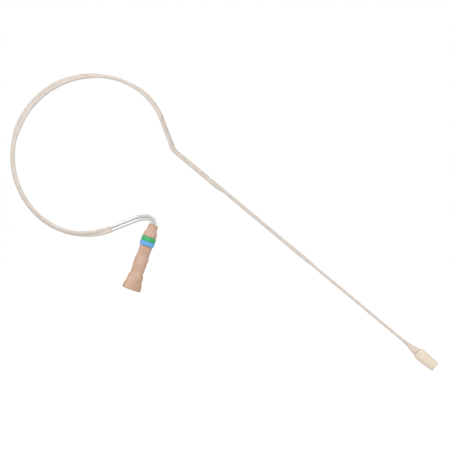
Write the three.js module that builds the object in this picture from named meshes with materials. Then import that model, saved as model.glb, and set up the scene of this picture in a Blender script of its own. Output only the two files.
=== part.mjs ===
// A single-ear headset microphone: a springy double-wire ear loop, a thin boom that carries
// a small electret capsule under a slip-on cap, and a cable connector behind the ear lobe.
// Millimetres. +X points forward along the wearer's cheek, +Z up, +Y into the head.
// The origin is the underside of the loop's crown, where it rests on top of the ear.
import * as THREE from "three";

// ---- Wires ----
const WIRE_RADIUS = 0.56;
const TUBE_BORE_RADIUS = 0.3;
const LEAD_RADIUS = 0.22;
const WIRE_SPACING = 1.15; // between the lead tube's axis and the spring wire's
const JACKET_RADIUS = 0.65; // outside the jacket, over each wire
const JACKET_BORE_RADIUS = 0.575;
const LOBE_ARC = 230; // degrees of each lobe's circle that the jacket's outline follows

// ---- Ear loop, seen from the wearer's left; headings are degrees from +X ----
const BOOM_HEADING = -39.8;
const LEG_HEADING = 110.8;
const TAIL_HEADING = 21.5;
const CONNECTOR_HEADING = -109.2;
const KNEE_RADIUS = 4.5;
const FRONT_LEG = 11.95; // knee vertex to the first bend
const LOOP_RADII = [22.85, 29.27, 28.78, 24.65]; // crown front, crown, back and underside
const LOOP_TURNS = [40, 100, 70]; // the underside turns what is left
const TAIL_STRAIGHT = 9.85;
const JACKET_PAST_LOOP = 0.5; // how far the jacket reaches onto the tail
const TAIL_EASE_RADIUS = 9.3;
const TAIL_FLAT = 0.55;
const TAIL_BEND_RADIUS = 2.43;
const CROWN_HALF_HEIGHT = 0.89; // centreline to the underside where the loop rests on the ear
// The pair of wires lies flat in some stretches and edge-on in others:
// [distance from the knee, angle from the loop's plane].
const PAIR_TWIST = [
  [0, 65], [20, 68], [36, 90], [48, 50], [60, 8],
  [76, 8], [83, 66], [124, 66], [141, 6], [150, 0],
];

// ---- Where the springy wires are taken to bend ----
const BOOM_HINGE = 21.2; // along the boom from the knee vertex
const HINGE_GAP = 0.5;
const SWING_JOINT = 5.5; // up the front leg from the knee vertex
const SWING_GAP = 0.3;
const SPRING_WIRE_SETBACK = 0.35; // the lead tube stands out past the end of the spring wire

// ---- Boom and capsule, along the boom from the knee vertex ----
const BOOT_START = 107.4;
const BOOT_END = 113.95;
const BOOT_RADIUS = 1.56;
const CAP_START = 114.1;
const CAP_END = 122.55;
const CAP_REAR_RADIUS = 2.26;
const CAP_FRONT_RADIUS = 2.0;
const CAN_START = 113.1;
const CAN_END = 116.6;
const CAN_RADIUS = 1.25;
const CAN_WALL = 0.12;
const STACK_RADIUS = 1.08; // everything inside the can
const BOOM_JACKET_END = 109.3;
const BOOM_TUBE_END = 111.9;
const BOOM_LEAD_END = 112.75;
const BOARD_FROM = 113.3;
const BOARD_TO = 113.66;
const BACKPLATE_FROM = 115.68;
const BACKPLATE_TO = 115.92;
const SPACER_TO = 116.04;
const DIAPHRAGM_TO = 116.12;
const SCREEN_FROM = 121.65;
const SCREEN_TO = 121.8;

// ---- Connector, along its axis from the mouth that the wires enter ----
const MOUTH_COVER = 0.57; // how far the mouth reaches back over the end of the tail's bend
const WIRE_END = 5.4;
const LEAD_END = 11.1;
const COLLAR_NECK_RADIUS = 1.83;
const COLLAR_SHOULDER_RADIUS = 2.48;
const COLLAR_SEAT_RADIUS = 2.2;
const BAND_WIDTH = 1.62;
const BAND_START = 4.68;
const BARREL_START = 8.15;
const BARREL_END = 24.8;
const RIM_RADIUS = 3.55;
const SOCKET_RADIUS = 2.1;
const CARRIER_START = 12.6;
const CARRIER_END = 14.3;
const CONTACTS_END = 18.4;
const RETENTION_GROOVE = [19.95, 20.55];

// ---- Fineness ----
const TURNED_SIDES = 24;
const STACK_SIDES = 16;
const LOBE_SIDES = 9;
const BEND_STEP = 8; // degrees between stations on a bend
const TWIST_STEP = 10;
const STATION_SAMPLES = 48;

const radians = THREE.MathUtils.degToRad;
const tangentLength = (radius, turn) => radius * Math.tan(radians(turn) / 2);

// The wires' centreline: straight and bent stretches laid end to end in the loop's plane.
class Route {
  constructor(x, z, heading) {
    this.stretches = [];
    this.end = { x, z, heading };
    this.length = 0;
  }

  straight(length) {
    return this.add(length, 0);
  }

  bend(radius, turn) {
    return this.add(radius * radians(Math.abs(turn)), turn);
  }

  add(length, turn) {
    this.stretches.push({ from: this.length, length, turn, ...this.end });
    this.length += length;
    this.end = this.at(this.length);
    return this;
  }

  // The point and heading at a distance along the route.
  at(distance) {
    const inside = this.stretches.findLast(({ from }) => from <= distance) ?? this.stretches[0];
    const run = distance - inside.from;
    const turned = inside.turn * (run / inside.length);
    const chord = inside.turn ? run * Math.sin(radians(turned / 2)) / radians(turned / 2) : run;
    const along = radians(inside.heading + turned / 2);
    return {
      x: inside.x + (run ? chord * Math.cos(along) : 0),
      z: inside.z + (run ? chord * Math.sin(along) : 0),
      heading: inside.heading + turned,
    };
  }

  // The distance at which the route first points along a heading.
  whereHeading(heading) {
    const reaches = ({ heading: start, turn }) => turn > 0 && start <= heading && heading <= start + turn;
    const inside = this.stretches.find(reaches);
    return inside.from + inside.length * (heading - inside.heading) / inside.turn;
  }

  moveBy(x, z) {
    for (const stretch of this.stretches) {
      stretch.x += x;
      stretch.z += z;
    }
    this.end = this.at(this.length);
  }

  // Distances between two places, close together where the route bends or the pair twists.
  stations(from, to) {
    const inside = this.stretches.filter((s) => s.from < to && s.from + s.length > from);
    const distances = [from];
    for (const stretch of inside) {
      const start = Math.max(from, stretch.from);
      const end = Math.min(to, stretch.from + stretch.length);
      const turnEach = Math.abs(stretch.turn) * (end - start) / stretch.length / STATION_SAMPLES;
      let last = start;
      let change = 0;
      for (let i = 1; i <= STATION_SAMPLES; i++) {
        const here = start + (end - start) * i / STATION_SAMPLES;
        const twist = Math.abs(pairTwist(here) - pairTwist(last));
        change += Math.max(turnEach / BEND_STEP, twist / TWIST_STEP);
        last = here;
        if (change < 1 && i < STATION_SAMPLES) continue;
        distances.push(here);
        change = 0;
      }
    }
    return distances;
  }
}

const kneeTurn = 180 - LEG_HEADING + BOOM_HEADING;
const kneeTangent = tangentLength(KNEE_RADIUS, kneeTurn);
const routeStart = BOOM_HINGE - HINGE_GAP / 2;
const lastLoopTurn = 360 + TAIL_HEADING - LEG_HEADING - LOOP_TURNS.reduce((sum, turn) => sum + turn);
const startX = routeStart * Math.cos(radians(BOOM_HEADING));
const startZ = routeStart * Math.sin(radians(BOOM_HEADING));

const route = new Route(startX, startZ, 180 + BOOM_HEADING);
route.straight(routeStart - kneeTangent);
route.bend(KNEE_RADIUS, -kneeTurn);
const legStart = route.length;
route.straight(FRONT_LEG - kneeTangent);
[...LOOP_TURNS, lastLoopTurn].forEach((turn, i) => route.bend(LOOP_RADII[i], turn));
const loopEnd = route.length;
route.straight(TAIL_STRAIGHT);
route.bend(TAIL_EASE_RADIUS, -TAIL_HEADING);
route.straight(TAIL_FLAT);
route.bend(TAIL_BEND_RADIUS, CONNECTOR_HEADING);
const tailEnd = route.length;
route.straight(WIRE_END - MOUTH_COVER);
const LEAD_STEPS = 4; // past the tube's end, where the lead comes in to the connector's axis
for (let i = 0; i < LEAD_STEPS; i++) route.straight((LEAD_END - WIRE_END) / LEAD_STEPS);

const crownTop = route.at(route.whereHeading(180));
const kneeVertex = { x: -crownTop.x, z: CROWN_HALF_HEIGHT - crownTop.z };
route.moveBy(kneeVertex.x, kneeVertex.z);

const swingJoint = legStart - kneeTangent + SWING_JOINT;
const openingHinge = route.whereHeading(270);
const mouth = tailEnd - MOUTH_COVER;

// The angle of the pair of wires from the loop's plane, eased from one stretch to the next.
function pairTwist(distance) {
  const fromKnee = distance - routeStart;
  const next = PAIR_TWIST.findIndex(([place]) => place > fromKnee);
  if (next === 0) return PAIR_TWIST[0][1];
  if (next < 0) return PAIR_TWIST.at(-1)[1];
  const [[place, angle], [nextPlace, nextAngle]] = PAIR_TWIST.slice(next - 1, next + 1);
  return angle + (nextAngle - angle) * THREE.MathUtils.smoothstep(fromKnee, place, nextPlace);
}

// Unit vectors at a heading: forward, its left in the loop's plane, and out of the plane.
function axesAt(heading) {
  const c = Math.cos(radians(heading));
  const s = Math.sin(radians(heading));
  return {
    forward: new THREE.Vector3(c, 0, s),
    left: new THREE.Vector3(-s, 0, c),
    out: new THREE.Vector3(0, -1, 0),
  };
}

// A stretch of the route as a path for ExtrudeGeometry, whose frames turn with the pair of wires.
// drift moves the section sideways, along the line between the two wires.
class Run extends THREE.Curve {
  constructor(from, to, drift = () => 0) {
    super();
    this.frames = route.stations(from, to).map((distance) => {
      const place = route.at(distance);
      const { forward, left, out } = axesAt(place.heading);
      const twist = radians(pairTwist(distance));
      const normal = left.clone().multiplyScalar(Math.cos(twist)).addScaledVector(out, Math.sin(twist));
      const binormal = new THREE.Vector3().crossVectors(forward, normal);
      const point = new THREE.Vector3(place.x, 0, place.z).addScaledVector(normal, drift(distance));
      return { point, forward, normal, binormal };
    });
  }

  getSpacedPoints() {
    return this.frames.map(({ point }) => point);
  }

  computeFrenetFrames() {
    return {
      tangents: this.frames.map(({ forward }) => forward),
      normals: this.frames.map(({ normal }) => normal),
      binormals: this.frames.map(({ binormal }) => binormal),
    };
  }
}

function swept(section, from, to, drift) {
  const run = new Run(from, to, drift);
  return new THREE.ExtrudeGeometry(section, { steps: run.frames.length - 1, extrudePath: run });
}

// ---- Sections ----

function arcPoints(radius, sides, x, start, sweep) {
  const points = [];
  for (let i = 0; i <= sides; i++) {
    const angle = radians(start + sweep * i / sides);
    points.push(new THREE.Vector2(x + radius * Math.cos(angle), radius * Math.sin(angle)));
  }
  return points;
}

const circlePoints = (radius, sides, x = 0) => arcPoints(radius, sides, x, 0, 360).slice(0, -1);

// The radius of a polygon's corners when its flats lie on the given radius.
const aroundFlats = (radius, segmentAngle) => radius / Math.cos(radians(segmentAngle / 2));

// Two lobes side by side, one over each wire, with a shallow valley between them.
function lobedPoints(radius, sidesPerLobe) {
  const half = WIRE_SPACING / 2;
  return [
    ...arcPoints(radius, sidesPerLobe, half, -LOBE_ARC / 2, LOBE_ARC),
    ...arcPoints(radius, sidesPerLobe, -half, 180 - LOBE_ARC / 2, LOBE_ARC),
  ];
}

// A lobed bore whose flats lie on the given radius round each wire.
function lobedBore(radius) {
  const sides = LOBE_SIDES - 1;
  return new THREE.Path(lobedPoints(aroundFlats(radius, LOBE_ARC / sides), sides));
}

function jacketSection() {
  const section = new THREE.Shape(lobedPoints(JACKET_RADIUS, LOBE_SIDES));
  section.holes.push(lobedBore(JACKET_BORE_RADIUS));
  return section;
}

function tubeSection() {
  const axis = -WIRE_SPACING / 2;
  const section = new THREE.Shape(circlePoints(WIRE_RADIUS, 10, axis));
  section.holes.push(new THREE.Path(circlePoints(aroundFlats(TUBE_BORE_RADIUS, 45), 8, axis)));
  return section;
}

const springWireSection = () => new THREE.Shape(circlePoints(WIRE_RADIUS, 10, WIRE_SPACING / 2));
const leadSection = () => new THREE.Shape(circlePoints(LEAD_RADIUS, 6));

// A turned piece: [radius, distance along the axis] pairs, outside first and rising.
function turned(profile, sides = TURNED_SIDES) {
  return new THREE.LatheGeometry(profile.map(([radius, along]) => new THREE.Vector2(radius, along)), sides);
}

function ring(inner, outer, from, to) {
  return [[inner, from], [outer, from], [outer, to], [inner, to], [inner, from]];
}

const disc = (radius, from, to) => [[0, from], [radius, from], [radius, to], [0, to]];

// A split ring or sleeve, open over a gap, between two places along the axis.
function splitRing(inner, outer, from, to, gap, sides) {
  const outline = [
    ...arcPoints(outer, sides, 0, gap / 2, 360 - gap),
    ...arcPoints(inner, sides, 0, 360 - gap / 2, gap - 360),
  ];
  return plate(outline, [], from, to);
}

// A flat plate with holes, between two places along the axis.
function plate(outline, holes, from, to) {
  const shape = new THREE.Shape(outline);
  for (const points of holes) shape.holes.push(new THREE.Path(points));
  const geometry = new THREE.ExtrudeGeometry(shape, { depth: to - from, bevelEnabled: false });
  return geometry.rotateX(-Math.PI / 2).translate(0, from, 0);
}

// Small round holes spread evenly on a circle.
function holeCircle(count, pitchRadius, radius, sides) {
  return Array.from({ length: count }, (_, i) => {
    const angle = radians(360 * i / count);
    const centre = new THREE.Vector2(Math.cos(angle), Math.sin(angle)).multiplyScalar(pitchRadius);
    return circlePoints(radius, sides).map((point) => point.add(centre));
  });
}

// ---- Materials ----

function finish(colour, roughness, metalness = 0) {
  return new THREE.MeshStandardMaterial({ color: colour, roughness, metalness });
}

const jacketSkin = () => finish(0xd8cbbf, 0.45);
const polishedSteel = () => finish(0xc8c8c6, 0.2, 1);
const leadSheath = () => finish(0xb98f70, 0.6);
const connectorPlastic = () => finish(0xc4a58c, 0.5);
const greenRubber = () => finish(0x37b978, 0.6);
const blueRubber = () => finish(0x6eacf0, 0.6);
const bootRubber = () => finish(0xdccbbf, 0.55);
const capPlastic = () => finish(0xe9d7c2, 0.5);
const steelMesh = () => finish(0xb8b2a8, 0.35, 1);
const goldPlate = () => finish(0xd9b25a, 0.25, 1);
const insulator = () => finish(0xece6da, 0.5);
const canMetal = () => finish(0xcfcfcc, 0.3, 1);
const dampingFabric = () => finish(0x3a3836, 0.95);
const polymerFilm = () => finish(0xd8d2b8, 0.2);
const boardLaminate = () => finish(0x3c7a4e, 0.5);
const chipResin = () => finish(0x1c1c1e, 0.5);
const solderMetal = () => finish(0xc2c4c6, 0.35, 1);

// ---- Assembly helpers ----

function piece(name, geometry, material) {
  const mesh = new THREE.Mesh(geometry, material);
  mesh.name = name;
  return mesh;
}

// A group whose own +Y runs along a heading, from a point.
function onAxis(origin, heading, pieces) {
  const { forward, left } = axesAt(heading);
  const group = new THREE.Group();
  group.quaternion.setFromRotationMatrix(
    new THREE.Matrix4().makeBasis(left, forward, new THREE.Vector3().crossVectors(left, forward)),
  );
  group.position.copy(origin);
  group.add(...pieces);
  return group;
}

function grouped(pieces) {
  const group = new THREE.Group();
  group.add(...pieces);
  return group;
}

const inTube = () => -WIRE_SPACING / 2;

// The four nested pieces of a stretch of the double wire.
function doubleWire(name, from, to, lengths = {}) {
  const { jacketTo = to, wireFrom = from, wireTo = to, leadTo = to, leadDrift = inTube } = lengths;
  return [
    piece(name + "_jacket", swept(jacketSection(), wireFrom, jacketTo), jacketSkin()),
    piece(name + "_lead_tube", swept(tubeSection(), from, wireTo), polishedSteel()),
    piece(name + "_spring_wire", swept(springWireSection(), wireFrom, wireTo), polishedSteel()),
    piece(name + "_lead", swept(leadSection(), from, leadTo, leadDrift), leadSheath()),
  ];
}

// ---- Crown: the top of the ear loop, from the front leg over the ear to its back ----

function crown() {
  return grouped(doubleWire("crown", swingJoint + SWING_GAP / 2, openingHinge - HINGE_GAP / 2));
}

// ---- Rear: the lower loop, the bare tail and the connector ----

// Past the tube's end the lead comes in to the connector's axis.
function leadIntoConnector(distance) {
  const along = distance - mouth;
  return (-WIRE_SPACING / 2) * (1 - THREE.MathUtils.smoothstep(along, WIRE_END + 0.4, LEAD_END - 1.5));
}

function rearWires() {
  return doubleWire("rear", openingHinge + HINGE_GAP / 2, route.length, {
    jacketTo: loopEnd + JACKET_PAST_LOOP,
    wireTo: mouth + WIRE_END,
    leadTo: mouth + LEAD_END,
    leadDrift: leadIntoConnector,
  });
}

// A crimped steel ferrule round both wires, inside the collar.
function crimpFerrule() {
  const section = new THREE.Shape(circlePoints(1.38, 20));
  section.holes.push(lobedBore(WIRE_RADIUS + 0.03));
  return piece("crimp_ferrule", swept(section, mouth + 2.5, mouth + WIRE_END - 0.3), polishedSteel());
}

// The moulded collar: a neck round the wires, a shoulder, a seat for the bands and a spigot.
function connectorCollar() {
  const neck = COLLAR_NECK_RADIUS;
  const shoulder = COLLAR_SHOULDER_RADIUS;
  const seatEnd = BARREL_START - 0.1;
  const outside = [
    [1.2, 0], [neck - 0.18, 0], [neck, 0.18], [neck, 2],
    [shoulder - 0.05, 3.15], [shoulder, 3.4], [shoulder, BAND_START - 0.08],
    [COLLAR_SEAT_RADIUS, BAND_START - 0.05], [COLLAR_SEAT_RADIUS, seatEnd],
    [1.85, seatEnd], [1.85, 10.5],
  ];
  const inside = [[1.45, 10.5], [1.45, 2.35], [1.2, 2.1], [1.2, 0]];
  return piece("connector_collar", turned([...outside, ...inside]), connectorPlastic());
}

// A stretched rubber identification band with rounded edges.
function idBand(name, place, radius, material) {
  const inner = COLLAR_SEAT_RADIUS + 0.03;
  const start = BAND_START + place * (BAND_WIDTH + 0.06);
  const end = start + BAND_WIDTH;
  const edge = 0.25;
  const profile = [
    [inner, start], [radius - edge, start], [radius, start + edge],
    [radius, end - edge], [radius - edge, end], [inner, end], [inner, start],
  ];
  return piece(name, turned(profile), material);
}

// The moulded barrel: a waist, a grip, and a socket that flares out to its rim.
function connectorBarrel() {
  const [grooveStart, grooveEnd] = RETENTION_GROOVE;
  const outside = [
    [1.92, BARREL_START], [2.28, BARREL_START], [2.25, 11.2], [2.34, 12.3], [2.52, 13],
    [2.52, 16.8], [2.47, 18.4], [2.9, 19.5], [2.96, 21.2], [3.48, 22.9],
    [RIM_RADIUS, 23.3], [RIM_RADIUS, 24.55], [RIM_RADIUS - 0.22, BARREL_END],
  ];
  const inside = [
    [2.85, BARREL_END], [2.75, 24.3], [SOCKET_RADIUS, 21.7],
    [SOCKET_RADIUS, grooveEnd], [2.38, grooveEnd], [2.38, grooveStart], [SOCKET_RADIUS, grooveStart],
    [SOCKET_RADIUS, 12.5], [1.75, 12.5], [1.75, 10.65], [1.92, 10.65], [1.92, BARREL_START],
  ];
  return piece("connector_barrel", turned([...outside, ...inside]), connectorPlastic());
}

function contactCarrier() {
  const outer = SOCKET_RADIUS - 0.06;
  return piece("contact_carrier", turned(ring(0.5, outer, CARRIER_START, CARRIER_END)), insulator());
}

// A pin with a cup behind it for the lead's solder.
function centreContact() {
  const cup = CARRIER_START - 0.3;
  const solderCup = [[0, cup], [0.27, cup], [0.27, cup - 1], [0.42, cup - 1]];
  const shoulder = CARRIER_END + 0.3;
  const pin = [[0.42, shoulder], [0.3, shoulder + 0.2], [0.3, 18], [0.16, 18.3], [0, 18.35]];
  return piece("centre_contact", turned([...solderCup, ...pin], 14), goldPlate());
}

function ringContact() {
  const sleeve = splitRing(1.5, 1.75, CARRIER_END + 0.06, CONTACTS_END, 24, 24);
  return piece("ring_contact", sleeve, goldPlate());
}

function retentionRing() {
  const [grooveStart, grooveEnd] = RETENTION_GROOVE;
  const snap = splitRing(1.95, 2.33, grooveStart + 0.05, grooveEnd - 0.05, 60, 20);
  return piece("retention_ring", snap, polishedSteel());
}

function connector() {
  const end = route.at(tailEnd);
  const { forward } = axesAt(end.heading);
  const origin = new THREE.Vector3(end.x, 0, end.z).addScaledVector(forward, -MOUTH_COVER);
  return onAxis(origin, CONNECTOR_HEADING, [
    connectorCollar(),
    idBand("id_band_green", 0, 2.67, greenRubber()),
    idBand("id_band_blue", 1, 2.71, blueRubber()),
    connectorBarrel(),
    contactCarrier(),
    centreContact(),
    ringContact(),
    retentionRing(),
  ]);
}

const rear = () => grouped([...rearWires(), crimpFerrule(), connector()]);

// ---- Knee: the bend in front of the ear and the end of the double wire ----

function knee() {
  const to = swingJoint - SWING_GAP / 2;
  return grouped(doubleWire("knee", 0, to, { wireFrom: SPRING_WIRE_SETBACK }));
}

// ---- Boom: the single lead tube out to the capsule ----

const boomStart = BOOM_HINGE + HINGE_GAP / 2;

function boomJacket() {
  const sleeve = ring(JACKET_BORE_RADIUS, JACKET_RADIUS, boomStart, BOOM_JACKET_END);
  return piece("boom_jacket", turned(sleeve, 14), jacketSkin());
}

function boomLeadTube() {
  const tube = ring(TUBE_BORE_RADIUS + 0.02, WIRE_RADIUS, boomStart, BOOM_TUBE_END);
  return piece("boom_lead_tube", turned(tube, 14), polishedSteel());
}

function boomLead() {
  return piece("boom_lead", turned(disc(LEAD_RADIUS, boomStart, BOOM_LEAD_END), 8), leadSheath());
}

// The soft boot that widens from the boom to the capsule. Its rear grips the jacket and the tube.
function capsuleBoot() {
  const steps = 7;
  const collar = BOOT_END - 0.6;
  const jacketBore = JACKET_RADIUS + 0.04;
  const tubeBore = WIRE_RADIUS + 0.05;
  const canBore = CAN_RADIUS + 0.05;
  const mouthRadius = jacketBore + 0.09;
  const outside = [];
  for (let i = 0; i <= steps; i++) {
    const along = BOOT_START + (collar - BOOT_START) * i / steps;
    const widening = THREE.MathUtils.smoothstep(Math.pow(i / steps, 1.25), 0, 1);
    outside.push([mouthRadius + (BOOT_RADIUS - mouthRadius) * widening, along]);
  }
  outside.push([BOOT_RADIUS, BOOT_END - 0.12], [BOOT_RADIUS - 0.12, BOOT_END]);
  const inside = [
    [canBore, BOOT_END], [canBore, CAN_START - 0.1], [0.95, CAN_START - 0.1], [0.95, 112.1],
    [tubeBore, 112], [tubeBore, BOOM_JACKET_END + 0.2],
    [jacketBore, BOOM_JACKET_END + 0.1], [jacketBore, BOOT_START],
  ];
  return piece("capsule_boot", turned([[jacketBore, BOOT_START], ...outside, ...inside]), bootRubber());
}

// A drawn can with a sound port in front and its rear edge rolled in over the board.
function capsuleCan() {
  const bore = CAN_RADIUS - CAN_WALL;
  const frontFace = CAN_END - CAN_WALL;
  const rolledEdge = CAN_START + CAN_WALL;
  const profile = [
    [0.95, CAN_START], [CAN_RADIUS, CAN_START], [CAN_RADIUS, CAN_END], [0.35, CAN_END],
    [0.35, frontFace], [bore, frontFace], [bore, rolledEdge], [0.95, rolledEdge], [0.95, CAN_START],
  ];
  return piece("capsule_can", turned(profile), canMetal());
}

// A cone of solder on the back of the board, to one side of the axis.
function solderJoint(name, side) {
  const base = BOARD_FROM - 0.04;
  const cone = turned([[0, base - 0.4], [0.08, base - 0.38], [0.2, base], [0, base]], 10);
  return piece(name, cone.translate(side, 0, 0), solderMetal());
}

// The sensing half: cloth over the port, and a stretched film close to a charged plate.
function sensingStack() {
  const cloth = disc(STACK_RADIUS, CAN_END + 0.03, CAN_END + 0.18);
  const filmRing = ring(0.85, STACK_RADIUS, DIAPHRAGM_TO + 0.03, CAN_END - CAN_WALL - 0.04);
  const film = disc(STACK_RADIUS, DIAPHRAGM_TO - 0.05, DIAPHRAGM_TO);
  const spacer = ring(0.9, STACK_RADIUS, SPACER_TO - 0.08, SPACER_TO);
  const airHoles = holeCircle(4, 0.6, 0.12, 8);
  const backplate = plate(circlePoints(0.84, STACK_SIDES), airHoles, BACKPLATE_FROM, BACKPLATE_TO);
  return [
    piece("damping_cloth", turned(cloth, STACK_SIDES), dampingFabric()),
    piece("diaphragm_ring", turned(filmRing, STACK_SIDES), goldPlate()),
    piece("diaphragm", turned(film, STACK_SIDES), polymerFilm()),
    piece("spacer_ring", turned(spacer, STACK_SIDES), insulator()),
    piece("backplate", backplate, goldPlate()),
  ];
}

// The cup that holds the backplate off the board, with a seat turned in its front edge.
function backplateHolder() {
  const base = BOARD_TO + 0.04;
  const seat = BACKPLATE_FROM - 0.04;
  const profile = [
    [0.78, base], [STACK_RADIUS, base], [STACK_RADIUS, BACKPLATE_TO], [0.9, BACKPLATE_TO],
    [0.9, seat], [0.78, seat], [0.78, base],
  ];
  return piece("backplate_holder", turned(profile, STACK_SIDES), insulator());
}

// The electrical half: the spring from the backplate, and the board with its chip and joints.
function boardStack() {
  const spring = ring(0.55, 0.74, BOARD_TO + 0.06, BACKPLATE_FROM - 0.06);
  const chip = new THREE.BoxGeometry(0.7, 0.34, 0.55).translate(0, BOARD_TO + 0.26, 0);
  return [
    piece("contact_spring", turned(spring, STACK_SIDES), goldPlate()),
    piece("amplifier_chip", chip, chipResin()),
    piece("capsule_board", turned(disc(STACK_RADIUS, BOARD_FROM, BOARD_TO), STACK_SIDES), boardLaminate()),
    solderJoint("solder_live", 0.4),
    solderJoint("solder_ground", -0.4),
  ];
}

// The knee vertex moved onto the lead tube's axis, which the whole boom shares.
function boomOrigin() {
  const start = new Run(0, 1, inTube).frames[0].point;
  return start.addScaledVector(axesAt(BOOM_HEADING).forward, -routeStart);
}

const boom = () => onAxis(boomOrigin(), BOOM_HEADING, [
  boomJacket(),
  boomLeadTube(),
  boomLead(),
  capsuleBoot(),
  capsuleCan(),
  ...sensingStack(),
  backplateHolder(),
  ...boardStack(),
]);

// ---- Cap: slips forward off the capsule ----

// A tapered moulded cap: a grip on the can, a chamber, and a seat for the screen in its nose.
function protectiveCap() {
  const grip = CAN_RADIUS + 0.08;
  const chamber = 1.5;
  const screenSeat = SCREEN_FROM - 0.05;
  const outside = [
    [grip, CAP_START], [CAP_REAR_RADIUS - 0.2, CAP_START], [CAP_REAR_RADIUS, CAP_START + 0.2],
    [CAP_REAR_RADIUS, 116.2], [CAP_FRONT_RADIUS, CAP_END - 0.3], [CAP_FRONT_RADIUS - 0.3, CAP_END],
  ];
  const inside = [
    [chamber, CAP_END], [chamber, screenSeat], [1.1, screenSeat], [1.1, screenSeat - 0.3],
    [chamber, screenSeat - 0.7], [chamber, 116.3], [grip, 115.9], [grip, CAP_START],
  ];
  return piece("protective_cap", turned([...outside, ...inside]), capPlastic());
}

function capScreen() {
  const holes = [...holeCircle(6, 0.45, 0.12, 6), ...holeCircle(12, 0.9, 0.12, 6)];
  return piece("cap_screen", plate(circlePoints(1.44, 24), holes, SCREEN_FROM, SCREEN_TO), steelMesh());
}

function screenRing() {
  return piece("screen_ring", turned(ring(1.08, 1.46, SCREEN_TO + 0.04, CAP_END - 0.12)), capPlastic());
}

const cap = () => onAxis(boomOrigin(), BOOM_HEADING, [protectiveCap(), capScreen(), screenRing()]);

// ---- Headset ----

const headset = new THREE.Group();
headset.add(crown(), rear(), knee(), boom(), cap());

export default headset;
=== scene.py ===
import math

import bpy
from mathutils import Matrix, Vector


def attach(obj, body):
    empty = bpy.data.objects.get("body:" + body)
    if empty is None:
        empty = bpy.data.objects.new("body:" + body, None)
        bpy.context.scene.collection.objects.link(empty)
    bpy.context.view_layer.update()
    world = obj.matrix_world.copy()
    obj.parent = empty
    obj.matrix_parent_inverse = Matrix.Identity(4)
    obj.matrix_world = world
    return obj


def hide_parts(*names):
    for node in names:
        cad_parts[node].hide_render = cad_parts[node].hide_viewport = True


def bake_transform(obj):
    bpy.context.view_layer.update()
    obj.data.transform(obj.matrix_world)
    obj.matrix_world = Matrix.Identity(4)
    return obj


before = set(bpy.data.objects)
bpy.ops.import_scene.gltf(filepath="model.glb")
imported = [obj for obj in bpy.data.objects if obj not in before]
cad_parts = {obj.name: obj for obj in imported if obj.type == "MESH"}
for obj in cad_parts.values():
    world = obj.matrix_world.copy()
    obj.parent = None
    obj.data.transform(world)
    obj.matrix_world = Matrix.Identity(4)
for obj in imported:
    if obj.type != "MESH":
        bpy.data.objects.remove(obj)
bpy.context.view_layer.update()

bpy.ops.object.select_all(action="DESELECT")

# ---- Camera ----
# Looks square at the plane of the ear loop, from the side that faces away from the head,
# and from far enough back that the view is almost flat.
bpy.ops.object.camera_add(location=(0.04726, -0.9, -0.05285), rotation=(math.radians(90), 0, 0))
camera = bpy.context.object
camera.name = "camera"
camera.data.lens = 200
camera.data.sensor_width = 36
bpy.context.scene.camera = camera

# ---- Studio ----
# A wide white floor and a white surround, whose light has a dimmer band just behind the
# object's sides, so that pale edges read against the white. A large soft light hangs up to the
# left in front, a weaker one stands to the right, and a third lifts the side that faces the head.
bpy.context.scene.view_settings.view_transform = "Standard"
world = bpy.data.worlds.new("studio_surround")
bpy.context.scene.world = world
world.use_nodes = True
surround = world.node_tree
surround.nodes.clear()
direction = surround.nodes.new("ShaderNodeTexCoord")
split = surround.nodes.new("ShaderNodeSeparateXYZ")
surround.links.new(direction.outputs["Generated"], split.inputs[0])
round_the_back = surround.nodes.new("ShaderNodeMapRange")
round_the_back.inputs["From Min"].default_value = -1
round_the_back.inputs["From Max"].default_value = 1
surround.links.new(split.outputs["Y"], round_the_back.inputs["Value"])
falloff = surround.nodes.new("ShaderNodeValToRGB")
surround.links.new(round_the_back.outputs["Result"], falloff.inputs["Fac"])
tones_front_to_back = [(0.0, 0.93), (0.5, 0.88), (0.6, 0.36), (0.76, 0.38), (0.88, 0.95)]
while len(falloff.color_ramp.elements) < len(tones_front_to_back):
    falloff.color_ramp.elements.new(0.5)
for stop, (position, tone) in zip(falloff.color_ramp.elements, tones_front_to_back):
    stop.position = position
    stop.color = (tone, tone, tone, 1)
light_on_object = surround.nodes.new("ShaderNodeBackground")
surround.links.new(falloff.outputs["Color"], light_on_object.inputs["Color"])
white_behind = surround.nodes.new("ShaderNodeBackground")
white_behind.inputs["Color"].default_value = (1, 1, 1, 1)
seen = surround.nodes.new("ShaderNodeLightPath")
chosen = surround.nodes.new("ShaderNodeMixShader")
surround.links.new(seen.outputs["Is Camera Ray"], chosen.inputs[0])
surround.links.new(light_on_object.outputs[0], chosen.inputs[1])
surround.links.new(white_behind.outputs[0], chosen.inputs[2])
out = surround.nodes.new("ShaderNodeOutputWorld")
surround.links.new(chosen.outputs[0], out.inputs["Surface"])


def soft_light(name, place, target, size, watts):
    """A square soft light that faces a point and isn't itself seen."""
    bpy.ops.object.light_add(type="AREA", location=place)
    lamp = bpy.context.object
    lamp.name = name
    lamp.rotation_euler = (Vector(target) - Vector(place)).to_track_quat("-Z", "Y").to_euler()
    lamp.data.size = size
    lamp.data.energy = watts
    lamp.visible_camera = False


middle = (0.047, 0, -0.053)
soft_light("key_light", (-0.6, -0.65, 0.8), middle, 0.7, 4.2)
soft_light("fill_light", (0.8, -0.7, 0.1), middle, 0.8, 0.6)
soft_light("back_light", (0.2, 0.9, 0.5), middle, 0.7, 3.0)

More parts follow.
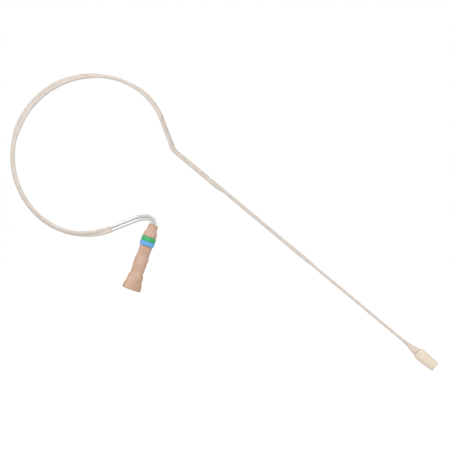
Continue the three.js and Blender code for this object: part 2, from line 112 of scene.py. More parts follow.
bpy.ops.mesh.primitive_plane_add(size=14, location=(0, 0, -0.175))
floor = bpy.context.object
floor.name = "floor"
floor.visible_diffuse = False
floor.visible_glossy = False
white_floor = bpy.data.materials.new("white_floor")
white_floor.use_nodes = True
floor_shader = white_floor.node_tree.nodes["Principled BSDF"]
floor_shader.inputs["Base Color"].default_value = (0.9, 0.9, 0.9, 1)
floor_shader.inputs["Roughness"].default_value = 0.9
floor_shader.inputs["Emission Color"].default_value = (1, 1, 1, 1)
floor_shader.inputs["Emission Strength"].default_value = 0.8
floor.data.materials.append(white_floor)

# ---- Double wire ----
# A thin stainless tube that carries the lead, and a springy stainless wire beside it, are
# formed together: straight in front of the ear, bent at the knee, round the ear in four
# eased bends, then down sharply into the connector. The pair rolls slowly as it goes.
mm = 0.001
wire_radius = 0.56
tube_bore_radius = 0.3
lead_radius = 0.22
half_spacing = 0.575
crown_half_height = 0.89
front_leg = 11.95
boom_heading, leg_heading, tail_heading, connector_heading = -39.8, 110.8, 21.5, -109.2
knee_turn = 180 - leg_heading + boom_heading
knee_radius = 4.5
knee_tangent = knee_radius * math.tan(math.radians(knee_turn / 2))
route_start = 20.95
mouth_cover = 0.57
wire_end_depth = 5.4
lead_end_depth = 11.1
straight_step = 1.2
degrees_a_step = 4


def bend(radius, turn):
    return radius * math.radians(abs(turn)), turn


lead_in = [(route_start - knee_tangent, 0), bend(knee_radius, -knee_turn), (front_leg - knee_tangent, 0)]
round_the_ear = [bend(22.85, 40), bend(29.27, 100), bend(28.78, 70), bend(24.65, 60.7)]
tail = [(9.85, 0), bend(9.3, -tail_heading), (0.55, 0), bend(2.43, connector_heading)]
stretches = []
x, z, heading, run = 0.0, 0.0, 180 + boom_heading, 0.0


def step_from(x, z, heading, length, turn, part):
    """The point and heading part of the way along one straight or bend."""
    half_turned = math.radians(turn * part / length / 2)
    chord = part * math.sin(half_turned) / half_turned if half_turned else part
    along = math.radians(heading) + half_turned
    return x + chord * math.cos(along), z + chord * math.sin(along), heading + turn * part / length


for length, turn in lead_in + round_the_ear + tail + [(lead_end_depth - mouth_cover, 0)]:
    stretches.append((run, length, turn, x, z, heading))
    x, z, heading = step_from(x, z, heading, length, turn, length)
    run += length
loop_end = sum(length for length, turn in lead_in + round_the_ear)
tail_end = loop_end + sum(length for length, turn in tail)
mouth = tail_end - mouth_cover


def on_route(distance):
    """x, z and heading at a distance along the pair, before the loop is stood on its origin."""
    behind = [s for s in stretches if s[0] <= distance] or stretches[:1]
    start, length, turn, x, z, heading = behind[-1]
    return step_from(x, z, heading, length, turn, distance - start)


def where_heading(wanted):
    """The distance at which the loop first points along a heading."""
    start, length, turn = [s[:3] for s in stretches if s[2] > 0 and s[5] <= wanted <= s[5] + s[2]][0]
    first = on_route(start)[2]
    return start + length * (wanted - first) / turn


crown_top = where_heading(180)
crown_x, crown_z, _ = on_route(crown_top)


def place_at(distance):
    """The pair's centre and heading, with the underside of the crown on the origin."""
    x, z, heading = on_route(distance)
    return x - crown_x, z - crown_z + crown_half_height, heading


def eased(t):
    """Rises from 0 to 1 with t, starting and stopping gently."""
    t = min(1, max(0, t))
    return t * t * (3 - 2 * t)


# Each roll is a distance past the knee and an angle in degrees.
rolls = [(0, 65), (20, 68), (36, 90), (48, 50), (60, 8), (76, 8), (83, 66), (124, 66), (141, 6), (150, 0)]


def roll_at(distance):
    """How far the pair has rolled out of the loop's plane, in degrees."""
    past_knee = distance - route_start
    before = [r for r in rolls if r[0] <= past_knee] or rolls[:1]
    after = [r for r in rolls if r[0] > past_knee] or rolls[-1:]
    (a, angle), (b, next_angle) = before[-1], after[0]
    if a == b or past_knee < 0:
        return angle
    return angle + (next_angle - angle) * eased((past_knee - a) / (b - a))


def axes_at(distance):
    """Unit vectors: forward, and from the lead tube towards the spring wire."""
    heading, rolled = math.radians(place_at(distance)[2]), math.radians(roll_at(distance))
    forward = Vector((math.cos(heading), 0, math.sin(heading)))
    left = Vector((-math.sin(heading), 0, math.cos(heading)))
    return forward, left * math.cos(rolled) + Vector((0, -1, 0)) * math.sin(rolled)


def stations(start, end):
    """Places close together on the bends and a little further apart on the straights."""
    places = [start]
    while places[-1] < end - 1e-6:
        here = places[-1]
        turn_rates = [abs(s[2]) / s[1] for s in stretches if s[0] - 0.3 < here < s[0] + s[1]]
        step = degrees_a_step / max(turn_rates + [1e-3])
        places.append(min(end, here + min(straight_step, step)))
    if len(places) > 2 and places[-1] - places[-2] < 0.1:
        places.pop(-2)
    return places


def section(name, outline):
    """A closed outline, in millimetres, for a wire or sleeve to be drawn through."""
    curve = bpy.data.curves.new(name, "CURVE")
    spline = curve.splines.new("POLY")
    spline.points.add(len(outline) - 1)
    for point, (across, up) in zip(spline.points, outline):
        point.co = (-across * mm, up * mm, 0, 1)
    spline.use_cyclic_u = True
    drawn = bpy.data.objects.new(name, curve)
    bpy.context.scene.collection.objects.link(drawn)
    return drawn


def arc(centre, radius, first, last, count):
    """Points round part of a circle beside the pair's middle."""
    angles = [math.radians(first + (last - first) * i / count) for i in range(count + 1)]
    return [(centre + radius * math.cos(a), radius * math.sin(a)) for a in angles]


def round_outline(radius, sides):
    """The closed outline of a round wire."""
    return arc(0, radius, 0, 360 - 360 / sides, sides - 1)


def drawn_along(name, outline, start, end, wall=None, drift=None):
    """A wire, or with a wall a tube or sleeve, whose outline is carried along the pair and rolls
    with it. The path is laid flat on the bench, bevelled with the outline, then stood up."""
    die = section(name + "_die", outline)
    path = bpy.data.curves.new(name, "CURVE")
    path.dimensions = "3D"
    path.twist_mode = "Z_UP"
    path.bevel_mode = "OBJECT"
    path.bevel_object = die
    path.use_fill_caps = wall is None
    spline = path.splines.new("POLY")
    places = stations(start, end)
    spline.points.add(len(places) - 1)
    for point, distance in zip(spline.points, places):
        x, z, heading = place_at(distance)
        sideways = axes_at(distance)[1] * (drift(distance) if drift else 0)
        point.co = ((x + sideways.x) * mm, (z + sideways.z) * mm, -sideways.y * mm, 1)
        point.tilt = math.radians(roll_at(distance))
    piece = bpy.data.objects.new(name, path)
    bpy.context.scene.collection.objects.link(piece)
    piece.rotation_euler = (math.radians(90), 0, 0)
    bpy.ops.object.select_all(action="DESELECT")
    piece.select_set(True)
    bpy.context.view_layer.objects.active = piece
    bpy.ops.object.convert(target="MESH")
    bpy.ops.object.transform_apply(location=True, rotation=True, scale=True)
    bpy.data.objects.remove(die)
    bpy.ops.object.mode_set(mode="EDIT")
    bpy.ops.mesh.select_all(action="SELECT")
    bpy.ops.mesh.remove_doubles(threshold=1e-7)
    bpy.ops.mesh.normals_make_consistent(inside=False)
    bpy.ops.object.mode_set(mode="OBJECT")
    if wall is not None:
        thicken = piece.modifiers.new("wall", "SOLIDIFY")
        thicken.thickness = wall * mm
        thicken.offset = -1
        bpy.ops.object.modifier_apply(modifier=thicken.name)
    bpy.ops.object.shade_smooth_by_angle(angle=math.radians(40))
    return piece


def wear(piece, material):
    """Gives a piece its material, in place of any it had."""
    piece.data.materials.clear()
    piece.data.materials.append(material)


def new_material(name, roughness, metallic=0.0, **settings):
    """A material whose shader has its uniform numbers set, ready for its patterns."""
    made = bpy.data.materials.new(name)
    made.use_nodes = True
    shader = made.node_tree.nodes["Principled BSDF"]
    shader.inputs["Roughness"].default_value = roughness
    shader.inputs["Metallic"].default_value = metallic
    for key, value in settings.items():
        shader.inputs[key.replace("_", " ")].default_value = value
    return made, shader


def srgb(red, green, blue):
    """A colour named by its 0 to 255 values."""
    def linear(v):
        v /= 255
        return v / 12.92 if v <= 0.04045 else ((v + 0.055) / 1.055) ** 2.4
    return linear(red), linear(green), linear(blue), 1


def grain(made, size, detail=3, stretch=(1, 1, 1)):
    """Soft random blotches about size millimetres across, drawn out by stretch."""
    nodes, links = made.node_tree.nodes, made.node_tree.links
    where = nodes.new("ShaderNodeTexCoord")
    scaled = nodes.new("ShaderNodeMapping")
    scaled.inputs["Scale"].default_value = [1 / (size * mm * s) for s in stretch]
    noise = nodes.new("ShaderNodeTexNoise")
    noise.inputs["Scale"].default_value = 1
    noise.inputs["Detail"].default_value = detail
    links.new(where.outputs["Object"], scaled.inputs["Vector"])
    links.new(scaled.outputs["Vector"], noise.inputs["Vector"])
    return noise.outputs["Fac"]


grain_low, grain_high = 0.3, 0.7


def colour_from(made, shader, factor, *colours):
    """The base colour runs through the colours as the pattern goes from low to high."""
    ramp = made.node_tree.nodes.new("ShaderNodeValToRGB")
    while len(ramp.color_ramp.elements) < len(colours):
        ramp.color_ramp.elements.new(0.5)
    for i, (stop, colour) in enumerate(zip(ramp.color_ramp.elements, colours)):
        stop.position = grain_low + (grain_high - grain_low) * i / (len(colours) - 1)
        stop.color = colour
    made.node_tree.links.new(factor, ramp.inputs["Fac"])
    made.node_tree.links.new(ramp.outputs["Color"], shader.inputs["Base Color"])


def rough_from(made, shader, factor, low, high):
    """The roughness runs from low to high with the pattern."""
    spread = made.node_tree.nodes.new("ShaderNodeMapRange")
    spread.inputs["From Min"].default_value = grain_low
    spread.inputs["From Max"].default_value = grain_high
    spread.inputs["To Min"].default_value = low
    spread.inputs["To Max"].default_value = high
    made.node_tree.links.new(factor, spread.inputs["Value"])
    made.node_tree.links.new(spread.outputs["Result"], shader.inputs["Roughness"])


def relief_from(made, shader, *patterns):
    """Fine relief: each pattern is raised by its own height in millimetres."""
    under = None
    for factor, height in patterns:
        bump = made.node_tree.nodes.new("ShaderNodeBump")
        bump.inputs["Distance"].default_value = height * mm
        made.node_tree.links.new(factor, bump.inputs["Height"])
        if under is not None:
            made.node_tree.links.new(under, bump.inputs["Normal"])
        under = bump.outputs["Normal"]
    made.node_tree.links.new(under, shader.inputs["Normal"])


polished_steel, shader = new_material("polished_steel", 0.16, metallic=1.0)
colour_from(polished_steel, shader, grain(polished_steel, 5),
            srgb(214, 213, 210), srgb(228, 228, 227))
rough_from(polished_steel, shader, grain(polished_steel, 1.5), 0.12, 0.2)
relief_from(polished_steel, shader, (grain(polished_steel, 0.6), 0.0015))

lead_sheath, shader = new_material("lead_sheath", 0.55)
colour_from(lead_sheath, shader, grain(lead_sheath, 1), srgb(176, 134, 104), srgb(196, 154, 122))
relief_from(lead_sheath, shader, (grain(lead_sheath, 0.12), 0.004))

# The pair is made in three lengths, so that each crosses one springy place: over the back of
# the loop, down the front leg round the knee, and out along the boom. Ends out along the boom
# are counted from the knee.
spring_wire_tip = 0.35
front_split = route_start - 12.5
tube_tip = route_start - 111.9
lead_tip = route_start - 112.75
lead_leaves_tube = 5.8
lead_centred = 9.6
round_wire = round_outline(wire_radius, 24)
tube_outline = [(a - half_spacing, b) for a, b in round_wire]
wire_outline = [(a + half_spacing, b) for a, b in round_wire]
lead_outline = round_outline(lead_radius, 12)


def lead_drift(distance):
    """The lead lies in the tube, then comes in to the connector's axis."""
    depth = distance - mouth
    return -half_spacing * (1 - eased((depth - lead_leaves_tube) / (lead_centred - lead_leaves_tube)))


boom_out = -axes_at(0)[0]
pair_end_x, pair_end_z, _ = place_at(0)
tube_end = Vector((pair_end_x, 0, pair_end_z)) - axes_at(0)[1] * half_spacing
boom_origin = tube_end - boom_out * route_start


def spring_back(piece):
    """Bakes a length's placing into its mesh; it is not made to bend with the opening of the ear loop."""
    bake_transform(piece)


def swing_front(piece):
    """Bakes a length's placing into its mesh; it is not made to bend where the boom swings from the
    cheek.
    """
    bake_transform(piece)


def tilt_boom(piece):
    """Bakes a length's placing into its mesh; it is not made to bend where the boom is set up or down."""
    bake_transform(piece)


def length_of(place, boom_end, connector_end):
    """Where one of the three lengths starts and stops, for a piece with these two ends."""
    cuts = [boom_end, front_split, crown_top, connector_end]
    first = ["boom", "front", "back"].index(place)
    return cuts[first:first + 2]


lengths = {
    "back": (spring_back, "crown", "rear"),
    "front": (swing_front, "crown", "knee"),
    "boom": (tilt_boom, "knee", "boom"),
}
for place, (cross_joint, *bodies) in lengths.items():
    wires_stop = mouth + wire_end_depth
    tube = drawn_along("lead_tube_" + place, tube_outline, *length_of(place, tube_tip, wires_stop),
                       wall=wire_radius - tube_bore_radius)
    wire = drawn_along("spring_wire_" + place, wire_outline,
                       *length_of(place, spring_wire_tip, wires_stop))
    lead = drawn_along("lead_" + place, lead_outline,
                       *length_of(place, lead_tip, mouth + lead_end_depth), drift=lead_drift)
    wear(tube, polished_steel)
    wear(wire, polished_steel)
    wear(lead, lead_sheath)
    for kind, piece in (("lead_tube", tube), ("spring_wire", wire), ("lead", lead)):
        stood_for = [b + "_" + kind for b in bodies if b + "_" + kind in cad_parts]
        cross_joint(piece)
        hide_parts(*stood_for)

# ---- Jacket ----
# A thin beige sleeve shrunk tight over the two wires, so its outline follows both with a
# valley between. It ends square where the bare tail begins. Past the end of the spring wire
# it draws in to a single round sleeve, which runs out along the boom into the boot.
sleeve_radius = 0.65
sleeve_wall = 0.075
jacket_end = loop_end + 0.5
boot_grip = route_start - 109.3
draw_in_start = 20.75
draw_in_length = 3
lobe_turn, lobe_sides = 125, 15
valley = [(0.13, 0.475), (0.05, 0.445), (-0.05, 0.445), (-0.13, 0.475)]
two_lobes = arc(half_spacing, sleeve_radius, -lobe_turn, lobe_turn, lobe_sides) + valley
two_lobes += arc(-half_spacing, sleeve_radius, 180 - lobe_turn, 180 + lobe_turn, lobe_sides)
two_lobes += [(-a, -b) for a, b in valley]

jacket_sleeve, shader = new_material("jacket_sleeve", 0.38, Specular_IOR_Level=0.45)
colour_from(jacket_sleeve, shader, grain(jacket_sleeve, 2.2, detail=5),
            srgb(212, 200, 189), srgb(219, 207, 197), srgb(226, 215, 206))
rough_from(jacket_sleeve, shader, grain(jacket_sleeve, 0.8), 0.32, 0.46)
relief_from(jacket_sleeve, shader,
            (grain(jacket_sleeve, 1.6), 0.03), (grain(jacket_sleeve, 0.15), 0.004))


def draw_in(sleeve):
    """Shrinks the two lobes on the boom to one round sleeve, past the end of the spring wire."""
    across = axes_at(0)[1]
    upward = boom_out.cross(across)
    for vertex in sleeve.data.vertices:
        from_knee = vertex.co / mm - boom_origin
        out_along = from_knee.dot(boom_out)
        round_pair = math.atan2(from_knee.dot(upward), from_knee.dot(across) - half_spacing)
        spoke = across * math.cos(round_pair) + upward * math.sin(round_pair)
        drawn_in = boom_origin + boom_out * out_along + spoke * sleeve_radius
        vertex.co = vertex.co.lerp(drawn_in * mm, eased((out_along - draw_in_start) / draw_in_length))


for place, (cross_joint, *bodies) in lengths.items():
    sleeve = drawn_along("jacket_" + place, two_lobes, *length_of(place, boot_grip, jacket_end),
                         wall=None if place == "boom" else sleeve_wall)
    if place == "boom":
        draw_in(sleeve)
    wear(sleeve, jacket_sleeve)
    cross_joint(sleeve)
    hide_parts(*[b + "_jacket" for b in bodies])

# ---- Turned and moulded pieces: the connector's collar ----
# Tan plastic, moulded in one over the crimped wires: a narrow neck, a shoulder, and a seat
# that the two rubber bands are rolled onto. A fine parting line runs down each side.


def turned(name, profile, hollow=True, sides=72, soft_edge=0.05):
    """A piece modelled upright from a circle: pulled up the outside and back down the bore, or
    closed over its ends if it isn't hollow. The profile is (radius, distance along the axis)."""
    radius, along = profile[0]
    bpy.ops.mesh.primitive_circle_add(
        vertices=sides, radius=radius * mm, location=(0, 0, along * mm),
        fill_type="NOTHING" if hollow else "NGON")
    piece = bpy.context.object
    piece.name = name
    bpy.ops.object.mode_set(mode="EDIT")
    bpy.ops.mesh.select_all(action="SELECT")
    for next_radius, next_along in profile[1:]:
        lift = (0, 0, (next_along - along) * mm)
        bpy.ops.mesh.extrude_region_move(TRANSFORM_OT_translate={"value": lift})
        bpy.ops.transform.resize(value=(next_radius / radius, next_radius / radius, 1))
        radius, along = next_radius, next_along
    bpy.ops.mesh.select_all(action="SELECT")
    bpy.ops.mesh.remove_doubles(threshold=2e-7)
    bpy.ops.mesh.normals_make_consistent(inside=False)
    bpy.ops.object.mode_set(mode="OBJECT")
    bpy.ops.object.transform_apply(location=True, rotation=True, scale=True)
    if soft_edge:
        rounding = piece.modifiers.new("soft_edge", "BEVEL")
        rounding.width = soft_edge * mm
        rounding.segments = 3
        rounding.angle_limit = math.radians(32)
        bpy.ops.object.modifier_apply(modifier=rounding.name)
    bpy.ops.object.shade_smooth_by_angle(angle=math.radians(40))
    return piece


def set_on_axis(piece, origin, heading):
    """Lays an upright piece over, so that its axis runs along a heading from a point."""
    bpy.ops.object.select_all(action="DESELECT")
    piece.select_set(True)
    bpy.context.view_layer.objects.active = piece
    piece.rotation_euler = (0, math.radians(90 - heading), 0)
    piece.location = origin * mm
    bpy.ops.object.transform_apply(location=True, rotation=True, scale=True)
    return piece


end_x, end_z, _ = place_at(tail_end)
into_connector = axes_at(tail_end)[0]
connector_mouth = Vector((end_x, 0, end_z)) - into_connector * mouth_cover


def on_connector(piece, material, slot, *nodes):
    """Sets a piece on the connector's axis, where it stands for its CAD nodes."""
    set_on_axis(piece, connector_mouth, connector_heading)
    wear(piece, material)
    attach(piece, "rear")
    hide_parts(*nodes)


ridge_top, ridge_foot = 0.02, 0.07


def parting_line(made):
    """A low ridge in the loop's plane, where the two halves of the mould met."""
    where = made.node_tree.nodes.new("ShaderNodeTexCoord")
    split = made.node_tree.nodes.new("ShaderNodeSeparateXYZ")
    made.node_tree.links.new(where.outputs["Object"], split.inputs[0])
    off_plane = made.node_tree.nodes.new("ShaderNodeMath")
    off_plane.operation = "ABSOLUTE"
    made.node_tree.links.new(split.outputs["Y"], off_plane.inputs[0])
    ridge = made.node_tree.nodes.new("ShaderNodeMapRange")
    ridge.interpolation_type = "SMOOTHSTEP"
    ridge.inputs["From Min"].default_value = ridge_top * mm
    ridge.inputs["From Max"].default_value = ridge_foot * mm
    ridge.inputs["To Min"].default_value = 1
    ridge.inputs["To Max"].default_value = 0
    made.node_tree.links.new(off_plane.outputs[0], ridge.inputs["Value"])
    return ridge.outputs["Result"]


tan_moulding, shader = new_material(
    "tan_moulding", 0.42, Subsurface_Weight=0.12, Subsurface_Scale=0.0008, Specular_IOR_Level=0.4,
    Sheen_Weight=0.22, Sheen_Roughness=0.4)
shader.inputs["Subsurface Radius"].default_value = (1.0, 0.5, 0.3)
colour_from(tan_moulding, shader, grain(tan_moulding, 3.5, detail=5),
            srgb(200, 162, 138), srgb(207, 171, 148), srgb(214, 181, 160))
rough_from(tan_moulding, shader, grain(tan_moulding, 1.2), 0.36, 0.5)
relief_from(tan_moulding, shader, (parting_line(tan_moulding), 0.03),
            (grain(tan_moulding, 0.9), 0.02), (grain(tan_moulding, 0.14), 0.005))

collar = turned("connector_collar_moulding", [
    (1.2, 0.05), (1.62, 0.0), (1.8, 0.14), (1.83, 0.4), (1.83, 2.0), (1.98, 2.25), (2.2, 2.7),
    (2.42, 3.2), (2.48, 3.55), (2.48, 4.1), (2.46, 4.62), (2.2, 4.66), (2.2, 8.05), (1.85, 8.05),
    (1.85, 10.5), (1.45, 10.5), (1.45, 2.35), (1.2, 2.1), (1.2, 0.05)])
on_connector(collar, tan_moulding, "connector_body", "connector_collar")

# ---- Identification bands ----
# Two stretched rubber rings, green by the shoulder and light blue next to the barrel. Each is
# flat outside with rounded edges, and its rubber is slightly mottled from handling.
band_bore = 2.22


def band_rubber(name, *colours):
    rubber, shader = new_material(name, 0.5, Specular_IOR_Level=0.4)
    colour_from(rubber, shader, grain(rubber, 1.1, detail=4), *colours)
    rough_from(rubber, shader, grain(rubber, 0.5), 0.42, 0.62)
    relief_from(rubber, shader, (grain(rubber, 0.5), 0.015), (grain(rubber, 0.08), 0.004))
    return rubber


green_rubber = band_rubber("green_rubber", srgb(58, 174, 104), srgb(76, 190, 120))
blue_rubber = band_rubber("blue_rubber", srgb(100, 170, 226), srgb(114, 180, 236))


def rolled_band(name, start, end, radius):
    """A band with a flat outside that is rounded over at both edges."""
    edge = [(band_bore, 0.02), (radius - 0.2, 0), (radius - 0.09, 0.04), (radius - 0.03, 0.14),
            (radius, 0.34)]
    profile = [(r, start + inset) for r, inset in edge]
    profile += [(r, end - inset) for r, inset in reversed(edge)]
    return turned(name, profile + profile[:1], soft_edge=0)


on_connector(rolled_band("green_band", 4.7, 6.31, 2.67), green_rubber, "band_green", "id_band_green")
on_connector(rolled_band("blue_band", 6.35, 7.98, 2.71), blue_rubber, "band_blue", "id_band_blue")

# ---- Connector barrel ----
# The same tan plastic, pushed over the collar's spigot: a waist below the bands, a long
# plain grip, and a socket that steps out and flares to a rounded rim. The cable's plug
# goes in at the rim and snaps past a ring in a groove.
barrel = turned("connector_barrel_moulding", [
    (1.92, 8.18), (2.3, 8.16), (2.38, 8.3), (2.34, 8.7), (2.285, 9.2), (2.255, 9.7), (2.25, 10.5),
    (2.27, 11.1), (2.3, 11.6), (2.34, 12.25), (2.47, 12.7), (2.515, 13.1), (2.525, 15), (2.52, 16.6),
    (2.48, 17.4), (2.475, 18.35), (2.55, 18.6), (2.69, 18.95), (2.83, 19.4), (2.94, 19.95),
    (2.965, 20.6), (3.0, 21.2), (3.08, 21.7), (3.24, 22.25), (3.42, 22.75), (3.52, 23.15),
    (3.55, 23.6), (3.55, 24.2), (3.5, 24.5), (3.38, 24.74), (3.15, 24.8), (2.9, 24.74), (2.75, 24.3),
    (2.3, 22.4), (2.1, 21.7), (2.1, 20.55), (2.38, 20.5), (2.38, 20.0), (2.1, 19.95), (2.1, 12.5),
    (1.75, 12.5), (1.75, 10.65), (1.92, 10.65), (1.92, 8.18)], sides=96)
on_connector(barrel, tan_moulding, "connector_body", "connector_barrel")

# ---- Contacts in the socket ----
# An ivory insulator holds a gold-plated centre pin with a solder cup, and a slit gold sleeve
# round it. A split steel ring in the barrel's groove keeps the plug in.
ivory_insulator, shader = new_material("ivory_insulator", 0.4)
colour_from(ivory_insulator, shader, grain(ivory_insulator, 1.2),
            srgb(232, 224, 208), srgb(242, 236, 222))
relief_from(ivory_insulator, shader, (grain(ivory_insulator, 0.15), 0.004))

gold_plate, shader = new_material("gold_plate", 0.22, metallic=1.0)
colour_from(gold_plate, shader, grain(gold_plate, 0.8), srgb(206, 164, 84), srgb(226, 188, 110))
rough_from(gold_plate, shader, grain(gold_plate, 0.4), 0.16, 0.3)
relief_from(gold_plate, shader, (grain(gold_plate, 0.2), 0.003))

insulator = turned("contact_insulator", [
    (0.5, 12.6), (1.9, 12.6), (2.04, 12.72), (2.04, 13.4), (1.96, 13.44), (1.96, 13.6), (2.04, 13.64),
    (2.04, 14.2), (1.94, 14.3), (0.8, 14.3), (0.7, 14.22), (0.5, 14.22), (0.5, 12.6)], soft_edge=0.03)
on_connector(insulator, ivory_insulator, "insulator", "contact_carrier")

pin = turned("centre_pin", [
    (0.3, 12.4), (0.3, 12.3), (0.42, 12.3), (0.42, 14.6), (0.34, 14.72), (0.3, 14.82), (0.3, 17.9),
    (0.27, 18.12), (0.2, 18.27), (0.1, 18.34), (0.02, 18.35)], hollow=False, sides=32, soft_edge=0)
on_connector(pin, gold_plate, "contact_gold", "centre_contact")


def cut_away(piece, unwanted):
    """Deletes the faces whose centres are where something isn't wanted."""
    bpy.ops.object.mode_set(mode="EDIT")
    bpy.ops.mesh.select_mode(type="FACE")
    bpy.ops.mesh.select_all(action="DESELECT")
    bpy.ops.object.mode_set(mode="OBJECT")
    for face in piece.data.polygons:
        face.select = unwanted(face.center / mm)
    bpy.ops.object.mode_set(mode="EDIT")
    bpy.ops.mesh.delete(type="FACE")
    bpy.ops.mesh.select_mode(type="VERT")
    bpy.ops.object.mode_set(mode="OBJECT")


def fingered_sleeve(name, inner, outer, start, end, slots, half_width, slot_start):
    """A thin sleeve pulled up from a circle, slit from its free end, and given its wall last.
    The slots' places and half width are angles in degrees."""
    outside = [(outer, start), (outer, slot_start), (outer, end - 0.3), (outer - 0.06, end)]
    sleeve = turned(name, outside, soft_edge=0)

    def in_a_slot(centre):
        around = math.degrees(math.atan2(centre.y, centre.x))
        off_slots = [abs((around - slot + 180) % 360 - 180) for slot in slots]
        return centre.z > slot_start and min(off_slots) < half_width

    cut_away(sleeve, in_a_slot)
    thicken = sleeve.modifiers.new("wall", "SOLIDIFY")
    thicken.thickness = (outer - inner) * mm
    thicken.offset = -1
    bpy.ops.object.modifier_apply(modifier=thicken.name)
    return sleeve


ring_sleeve = fingered_sleeve("ring_sleeve", inner=1.5, outer=1.75, start=14.36, end=18.38,
                              slots=(0, 90, 180, 270), half_width=6, slot_start=15.4)
on_connector(ring_sleeve, gold_plate, "contact_gold", "ring_contact")
plug_retention_ring = fingered_sleeve("plug_retention_ring", inner=1.98, outer=2.33, start=20.02,
                                      end=20.48, slots=(180,), half_width=29, slot_start=20.0)
on_connector(plug_retention_ring, polished_steel, "wire_steel", "retention_ring")

# ---- Boot ----
# Soft beige rubber, moulded over the end of the boom and the rear of the capsule. It grips
# the sleeve at its thin end and opens in a smooth flare.
boot_rubber, shader = new_material(
    "boot_rubber", 0.5, Subsurface_Weight=0.25, Subsurface_Scale=0.0006, Specular_IOR_Level=0.35)
shader.inputs["Subsurface Radius"].default_value = (1.0, 0.7, 0.5)
colour_from(boot_rubber, shader, grain(boot_rubber, 1.5, detail=4),
            srgb(220, 202, 190), srgb(230, 214, 203))
rough_from(boot_rubber, shader, grain(boot_rubber, 0.6), 0.44, 0.6)
relief_from(boot_rubber, shader, (grain(boot_rubber, 0.5), 0.012), (grain(boot_rubber, 0.1), 0.004))


def on_boom(piece, body, material, slot, *nodes):
    """Sets a piece on the boom's axis, where it stands for its CAD nodes."""
    set_on_axis(piece, boom_origin, boom_heading)
    wear(piece, material)
    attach(piece, body)
    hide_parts(*nodes)


boot = turned("boot", [
    (0.68, 107.5), (0.71, 107.4), (0.75, 107.5), (0.785, 108.3), (0.825, 109.3), (0.86, 109.9),
    (0.93, 110.5), (1.05, 111.0), (1.2, 111.5), (1.33, 112.0), (1.42, 112.5), (1.49, 113.0),
    (1.54, 113.5), (1.56, 113.9), (1.48, 114.05), (1.3, 114.05), (1.3, 113.0), (0.95, 113.0),
    (0.95, 112.1), (0.6, 112.0), (0.6, 109.5), (0.68, 109.4), (0.68, 107.5)], soft_edge=0.03)
on_boom(boot, "boom", boot_rubber, "boot", "capsule_boot")

# ---- Cap ----
# Cream plastic, a tapered cylinder that pushes over the capsule and slips off forwards. Its
# rear edge is rounded, its nose has a small chamfer round a counterbore for the screen.
cream_moulding, shader = new_material(
    "cream_moulding", 0.45, Subsurface_Weight=0.2, Subsurface_Scale=0.0007, Specular_IOR_Level=0.4,
    Sheen_Weight=0.15, Sheen_Roughness=0.4)
shader.inputs["Subsurface Radius"].default_value = (1.0, 0.75, 0.5)
colour_from(cream_moulding, shader, grain(cream_moulding, 1.8, detail=4),
            srgb(234, 218, 196), srgb(239, 224, 204), srgb(243, 230, 212))
rough_from(cream_moulding, shader, grain(cream_moulding, 0.8), 0.38, 0.52)
relief_from(cream_moulding, shader, (parting_line(cream_moulding), 0.02),
            (grain(cream_moulding, 0.7), 0.015), (grain(cream_moulding, 0.12), 0.004))

cap = turned("tapered_cap", [
    (1.4, 114.1), (1.95, 114.1), (2.12, 114.16), (2.23, 114.3), (2.26, 114.6), (2.26, 117.0),
    (2.24, 117.8), (2.19, 118.5), (2.12, 119.4), (2.07, 120.4), (2.035, 121.5), (2.0, 122.1),
    (1.9, 122.45), (1.72, 122.55), (1.5, 122.55), (1.5, 121.6), (1.1, 121.6), (1.1, 121.3),
    (1.5, 120.9), (1.5, 116.3), (1.33, 115.9), (1.33, 114.3), (1.4, 114.1)], sides=96, soft_edge=0.04)
on_boom(cap, "cap", cream_moulding, "cap", "protective_cap")

screen_keeper = turned("screen_keeper", [
    (1.08, 121.84), (1.46, 121.84), (1.46, 122.38), (1.4, 122.43), (1.2, 122.43), (1.08, 122.3),
    (1.08, 121.84)], soft_edge=0.03)
on_boom(screen_keeper, "cap", cream_moulding, "cap", "screen_ring")

# ---- Screen ----
# A disc of fine steel wire cloth with a pressed rim, held in the cap's nose by its ring.
cloth_width = 3.0
cloth_place = 121.72
cloth_radius = 1.3
cloth_wire = 0.075
openings_across = 15
steel_screen, shader = new_material("steel_screen", 0.3, metallic=1.0)
colour_from(steel_screen, shader, grain(steel_screen, 0.6), srgb(178, 172, 162), srgb(198, 193, 184))
rough_from(steel_screen, shader, grain(steel_screen, 0.3), 0.24, 0.4)

bpy.ops.mesh.primitive_grid_add(
    x_subdivisions=openings_across, y_subdivisions=openings_across, size=cloth_width * mm,
    location=(0, 0, cloth_place * mm))
cloth = bpy.context.object
cloth.name = "wire_cloth_screen"
cut_away(cloth, lambda centre: math.hypot(centre.x, centre.y) > cloth_radius)
bpy.ops.object.transform_apply(location=True, rotation=True, scale=True)
wires = cloth.modifiers.new("wires", "WIREFRAME")
wires.thickness = cloth_wire * mm
bpy.ops.object.modifier_apply(modifier=wires.name)
rim = turned("screen_rim", [
    (1.22, 121.65), (1.44, 121.65), (1.44, 121.8), (1.22, 121.8), (1.22, 121.65)], soft_edge=0.02)
bpy.ops.object.select_all(action="DESELECT")
cloth.select_set(True)
rim.select_set(True)
bpy.context.view_layer.objects.active = cloth
bpy.ops.object.join()
on_boom(cloth, "cap", steel_screen, "screen_mesh", "cap_screen")

# ---- Capsule ----
# A small drawn metal can, open in front at the sound port and rolled in over the circuit
# board behind. It shows when the cap is off.
satin_can, shader = new_material("satin_can", 0.28, metallic=1.0)
colour_from(satin_can, shader, grain(satin_can, 0.8), srgb(204, 204, 200), srgb(220, 220, 217))
rough_from(satin_can, shader, grain(satin_can, 0.3, stretch=(6, 1, 6)), 0.22, 0.38)
relief_from(satin_can, shader, (grain(satin_can, 0.1, stretch=(8, 1, 8)), 0.003))

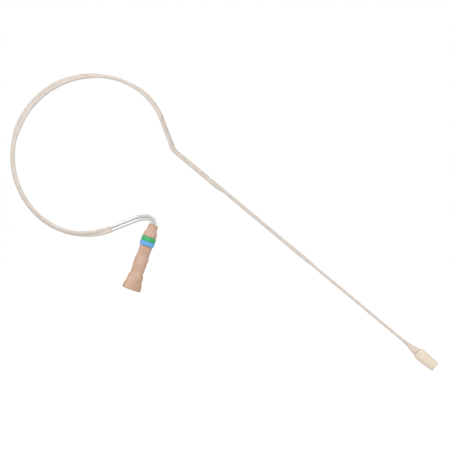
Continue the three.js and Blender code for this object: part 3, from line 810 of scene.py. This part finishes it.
can = turned("drawn_can", [
    (0.95, 113.1), (1.14, 113.1), (1.22, 113.14), (1.25, 113.24), (1.25, 116.44), (1.22, 116.55),
    (1.13, 116.6), (0.42, 116.6), (0.35, 116.56), (0.35, 116.48), (1.12, 116.48), (1.13, 116.4),
    (1.13, 113.22), (0.95, 113.22), (0.95, 113.1)], soft_edge=0.015)
on_boom(can, "boom", satin_can, "can", "capsule_can")

# ---- Inside the capsule, and the crimp ----
# From the port back: a black cloth, a gold ring with a stretched film, a thin spacer, a gold
# backplate in its ivory holder, a contact ring, and a green board with a chip and two solder
# joints. The wires' ends are crimped in a steel ferrule inside the collar.
black_cloth, shader = new_material("black_cloth", 0.95)
colour_from(black_cloth, shader, grain(black_cloth, 0.06), srgb(40, 38, 36), srgb(74, 70, 66))
relief_from(black_cloth, shader, (grain(black_cloth, 0.06), 0.02))

metallised_film, shader = new_material("metallised_film", 0.18, metallic=0.8)
colour_from(metallised_film, shader, grain(metallised_film, 0.5),
            srgb(214, 206, 176), srgb(226, 219, 190))
rough_from(metallised_film, shader, grain(metallised_film, 0.3), 0.12, 0.26)

green_board, shader = new_material("green_board", 0.4)
colour_from(green_board, shader, grain(green_board, 0.3), srgb(48, 112, 70), srgb(66, 134, 86))
relief_from(green_board, shader, (grain(green_board, 0.12), 0.004))

black_resin, shader = new_material("black_resin", 0.5)
colour_from(black_resin, shader, grain(black_resin, 0.2), srgb(24, 24, 26), srgb(40, 40, 42))
relief_from(black_resin, shader, (grain(black_resin, 0.05), 0.003))

bright_solder, shader = new_material("bright_solder", 0.3, metallic=1.0)
colour_from(bright_solder, shader, grain(bright_solder, 0.15), srgb(186, 188, 190), srgb(208, 209, 211))
rough_from(bright_solder, shader, grain(bright_solder, 0.1), 0.2, 0.42)

inside = {
    "damping_cloth": black_cloth, "diaphragm_ring": gold_plate, "diaphragm": metallised_film,
    "spacer_ring": ivory_insulator, "backplate": gold_plate, "backplate_holder": ivory_insulator,
    "contact_spring": gold_plate, "amplifier_chip": black_resin, "capsule_board": green_board,
    "solder_live": bright_solder, "solder_ground": bright_solder, "crimp_ferrule": polished_steel,
}
for node, material in inside.items():
    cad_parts[node].data.materials.clear()
    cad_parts[node].data.materials.append(material)
